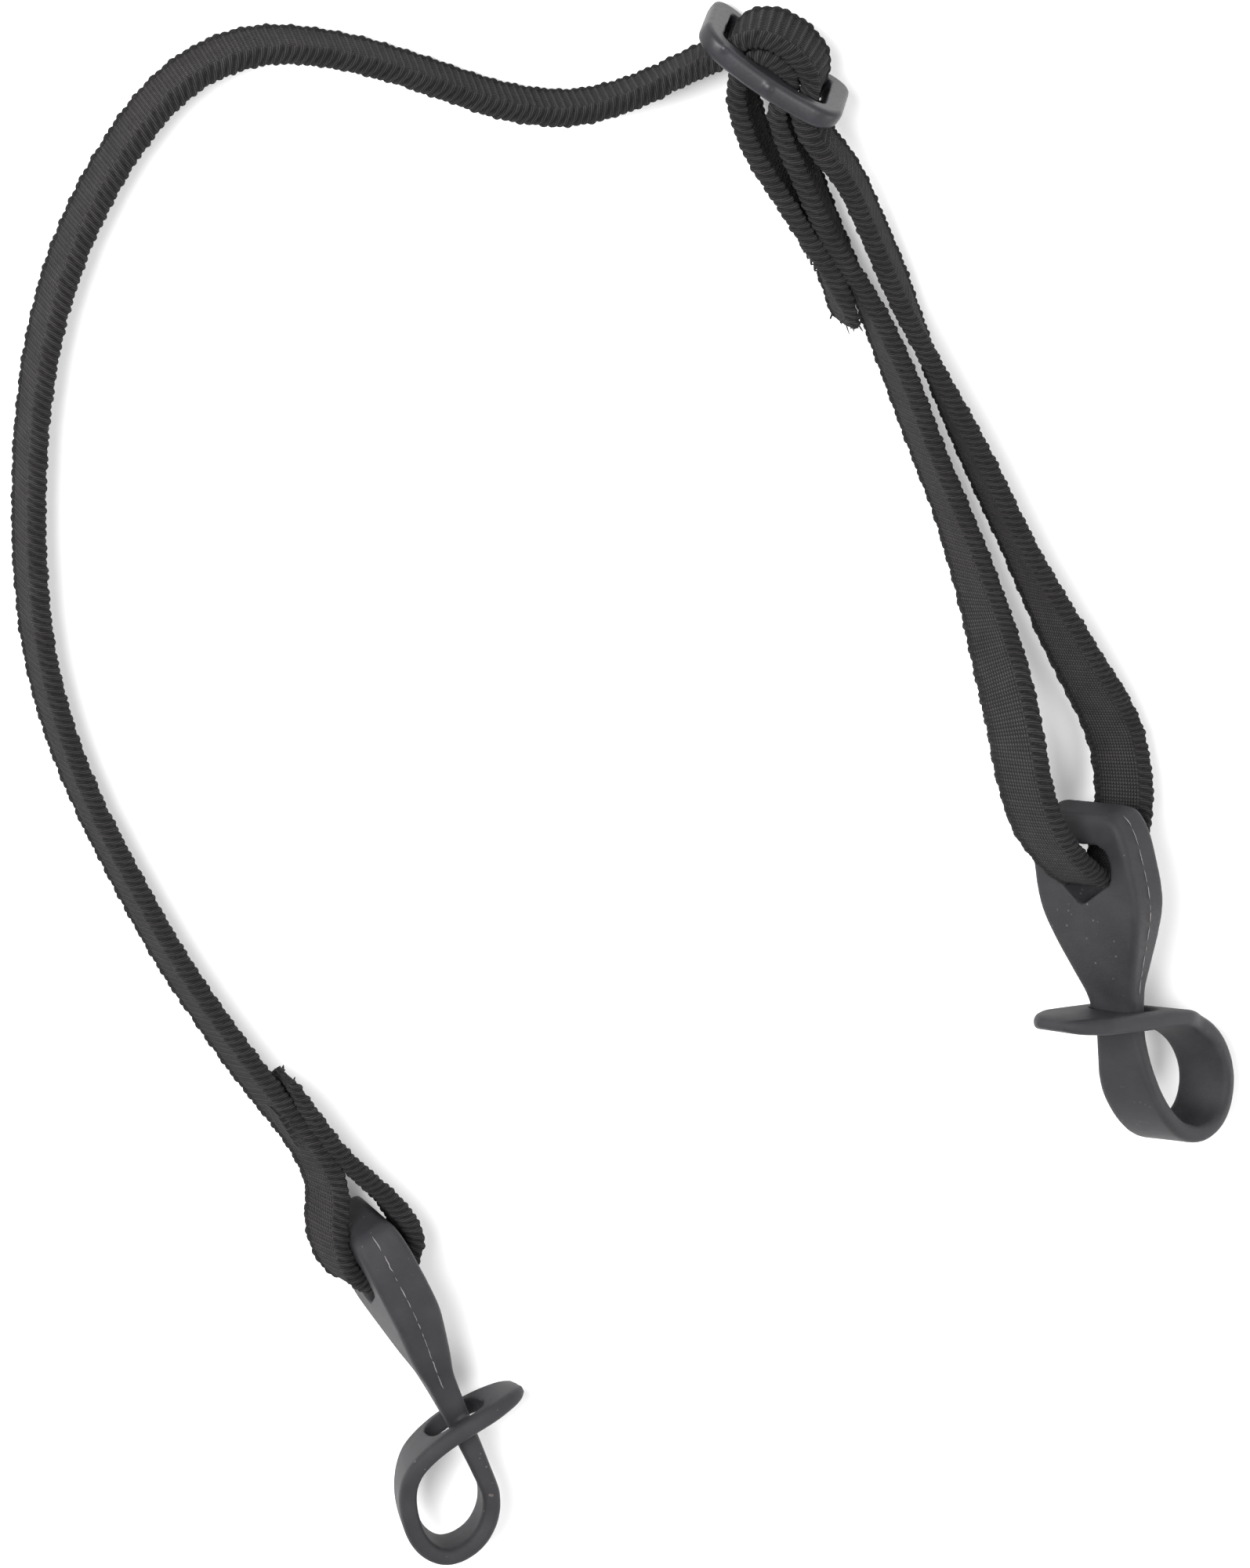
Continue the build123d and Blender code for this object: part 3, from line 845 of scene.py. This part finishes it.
def build_parting_line(name, grip, body, plane, material, seed):
    """The broken line of flash where the two halves of the mould met, along both narrow sides; its
    light grey colour is a painted highlight along the ridge.
    """
    tree = BVHTree.FromObject(grip, bpy.context.evaluated_depsgraph_get())
    rng = random.Random(seed)
    parts = []
    for side in (1, -1):
        x = -0.6
        while x < FLASH_END:
            length = rng.uniform(0.5, 2.4)
            count = max(3, int(length / FLASH_STEP))
            path = []
            for k in range(count):
                along = x + length * k / (count - 1)
                wobble = 0.10 * noise.noise(Vector((along * 1.3, seed, side)))
                outside = plane.at(along, 0.25 + wobble, side * 30) * MM
                hit, normal, _, _ = tree.ray_cast(outside, plane.width * -side)
                if hit:
                    path.append(hit + normal * FLASH_LIFT)
            if len(path) > 2:
                parts.append(tube(path, rng.uniform(0.00004, 0.00008)))
            x += length + rng.uniform(0.1, 0.9)
    link_mesh(name, joined(name, parts), material, body)


# ---------------------------------------------------------------- slider

SLIDER_HALF_LENGTH = 9.6
SLIDER_HALF_WIDTH = 6.6
SLIDER_VOXEL = 0.00016
SLOT_OFFSET = 4.15
SLOT_SHAPE = (5.9, 8.9, 0.9)  # length, width and corner radius
SLIDER_BOW = 0.9  # how far the frame's middle is bowed away from the bulge of webbing
# (height, how far the edge stands in) through the frame's thickness
SLIDER_LEVELS = [
    (-1.25, 0.55), (-1.05, 0.22), (-0.7, 0.05), (0.0, 0.0), (0.7, 0.05), (1.05, 0.22), (1.25, 0.55),
]
# (along, height, across, radius, rise) of the gate marks
GATE_MARKS = [(0.4, 0.2, 6.5, 0.75, 0.35), (-6.3, 0.7, 6.4, 0.55, 0.30)]


def dome(centre, outward, side, radius, height):
    """A low round bump with its foot sunk in the surface at centre."""
    other = outward.cross(side)
    rings = []
    for lift, share in ((-0.6, 1.0), (0.0, 1.0), (0.45, 0.86), (0.8, 0.55), (1.0, 0.15)):
        rings.append([
            (centre + outward * (height * lift)
             + (side * math.cos(t) + other * math.sin(t)) * radius * share) * MM
            for t in circle(16)
        ])
    return joined("bump", [sleeve(rings)])


def build_slider(material):
    """The moulded three-bar frame, slightly bowed, with its gate marks on the near rail."""
    outer = rounded_outline(2 * SLIDER_HALF_LENGTH, 2 * SLIDER_HALF_WIDTH, 3.0, 8)
    rings = []
    for height, inset in SLIDER_LEVELS:
        share_x, share_y = 1 - inset / SLIDER_HALF_LENGTH, 1 - inset / SLIDER_HALF_WIDTH
        rings.append([SLIDER.at(u * share_x, height, v * share_y) * MM for u, v in outer])
    mesh = joined("slider", [sleeve(rings)])
    for side in (-1, 1):
        slot_shape = [(u * MM, v * MM) for u, v in rounded_outline(*SLOT_SHAPE)]
        place = SLIDER.at(side * SLOT_OFFSET, 0) * MM
        mesh = cut_away(mesh, cutter("slot", slot_shape, place, SLIDER.x, SLIDER.width, 4 * MM))
    marks = [
        dome(SLIDER.at(x, y, w), SLIDER.width, SLIDER.x, radius, rise)
        for x, y, w, radius, rise in GATE_MARKS
    ]
    result = evened(merged("slider", [mesh, *marks]), SLIDER_VOXEL, 8)
    for vertex in result.vertices:
        along = (vertex.co / MM - SLIDER.origin).dot(SLIDER.x) / SLIDER_HALF_LENGTH
        vertex.co -= SLIDER.y * (SLIDER_BOW * MM * max(0.0, 1 - along * along))
    piece = link_mesh("slider", result, material, "slider")
    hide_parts("slider_frame")


# ---------------------------------------------------------------- stitching and cut ends


SEAM_ROWS = 6
ROW_PITCH = 0.95
THREAD_RADIUS = 0.00015
THREAD_REACH = 3.0  # to each side of the webbing's middle
THREAD_HEIGHT = 2.05  # of the thread above the middle of the two layers
THREAD_SLANT = 0.45
THREAD_POINTS = 24


def build_seam(name, node, body, place, direction, across, material):
    """A bar tack: thread wound through both layers and across their outer faces."""
    direction = direction.normalized()
    across = (across - direction * across.dot(direction)).normalized()
    thick = direction.cross(across)
    parts = []
    for row in range(SEAM_ROWS):
        centre = place + direction * ((row - (SEAM_ROWS - 1) / 2) * ROW_PITCH)
        for side in (1, -1):
            path = []
            for k in range(THREAD_POINTS + 1):
                t = -1 + 2 * k / THREAD_POINTS
                sag = 0.35 * (1 - t * t) ** 2 * 0.15
                dive = 1.3 * max(0.0, abs(t) - 0.92) / 0.08
                u, v = THREAD_REACH * t, side * (THREAD_HEIGHT - sag - dive)
                slanted = direction * (THREAD_SLANT * t * side)
                path.append((centre + across * u + thick * v + slanted) * MM)
            parts.append(tube(path, THREAD_RADIUS))
    piece = link_mesh(name, joined(name, parts), material, body)
    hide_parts(node)


FRAY_STEPS = 6


def build_fray(name, route, at_end, body, material, seed, count):
    """Loose yarn ends at a cut end of the webbing."""
    rng = random.Random(seed)
    distance = route.length - 0.1 * MM if at_end else 0.1 * MM
    place, direction, across, thick = route.frames([distance])[0]
    outward = direction if at_end else -direction
    parts = []
    for _ in range(count):
        start = place + across * rng.uniform(-2.8, 2.8) * MM + thick * rng.uniform(-0.5, 0.5) * MM
        start -= outward * 0.4 * MM
        heading = (
            outward + across * rng.uniform(-0.7, 0.7) + thick * rng.uniform(-0.6, 0.6)
        ).normalized()
        bend = Vector((rng.uniform(-1, 1), rng.uniform(-1, 1), rng.uniform(-1, 1)))
        length = rng.uniform(0.5, 1.4) * MM
        path = [
            start + heading * length * t + bend * length * 0.45 * t * t
            for t in (k / FRAY_STEPS for k in range(FRAY_STEPS + 1))
        ]
        parts.append(tube(path, rng.uniform(0.00007, 0.00014)))
    link_mesh(name, joined(name, parts), material, body)


# ---------------------------------------------------------------- the whole object

build_camera()
build_studio()
webbing = webbing_material()
rubber = rubber_material()
plastic = plastic_material()
thread = thread_material("black_thread", (0.003, 0.003, 0.0035), (0.018, 0.017, 0.018))
# Painted highlight: the parting line's flash is coloured light grey, much lighter than the black
# rubber it is moulded of.
flash_highlight = thread_material("mould_flash_painted_highlight", (0.060, 0.058, 0.062), (0.30, 0.28, 0.28))

strap_line = build_strap(webbing)
left_grip = build_grip(
    "left_grip_moulding", "left_temple_grip", "left_grip", LEFT, LEFT_PATH, LEFT_NOOSE_WIDTH,
    7, 31.1, rubber,
)
right_grip = build_grip(
    "right_grip_moulding", "right_temple_grip", "right_grip", RIGHT, RIGHT_PATH, RIGHT_NOOSE_WIDTH,
    10, 26.9, rubber,
)
build_parting_line("left_grip_parting_line", left_grip, "left_grip", LEFT, flash_highlight, 5)
build_parting_line("right_grip_parting_line", right_grip, "right_grip", RIGHT, flash_highlight, 9)
build_slider(plastic)
left_seam = LEFT.at(-17.8, 1.2)
build_seam(
    "left_loop_bar_tack", "left_loop_stitching", "strap", left_seam,
    LEFT.at(-22.8, 1.6) - left_seam, LEFT.width, thread,
)
slider_seam = Vector((19.9, 70.7, 8.95))
build_seam(
    "slider_loop_bar_tack", "slider_loop_stitching", "slider", slider_seam,
    Vector((22.4, 66.3, 8.5)) - slider_seam, SLIDER.width, thread,
)
build_fray("left_cut_end_yarns", strap_line, False, "strap", thread, 3, 26)
build_fray("tail_cut_end_yarns", strap_line, True, "slider", thread, 4, 18)
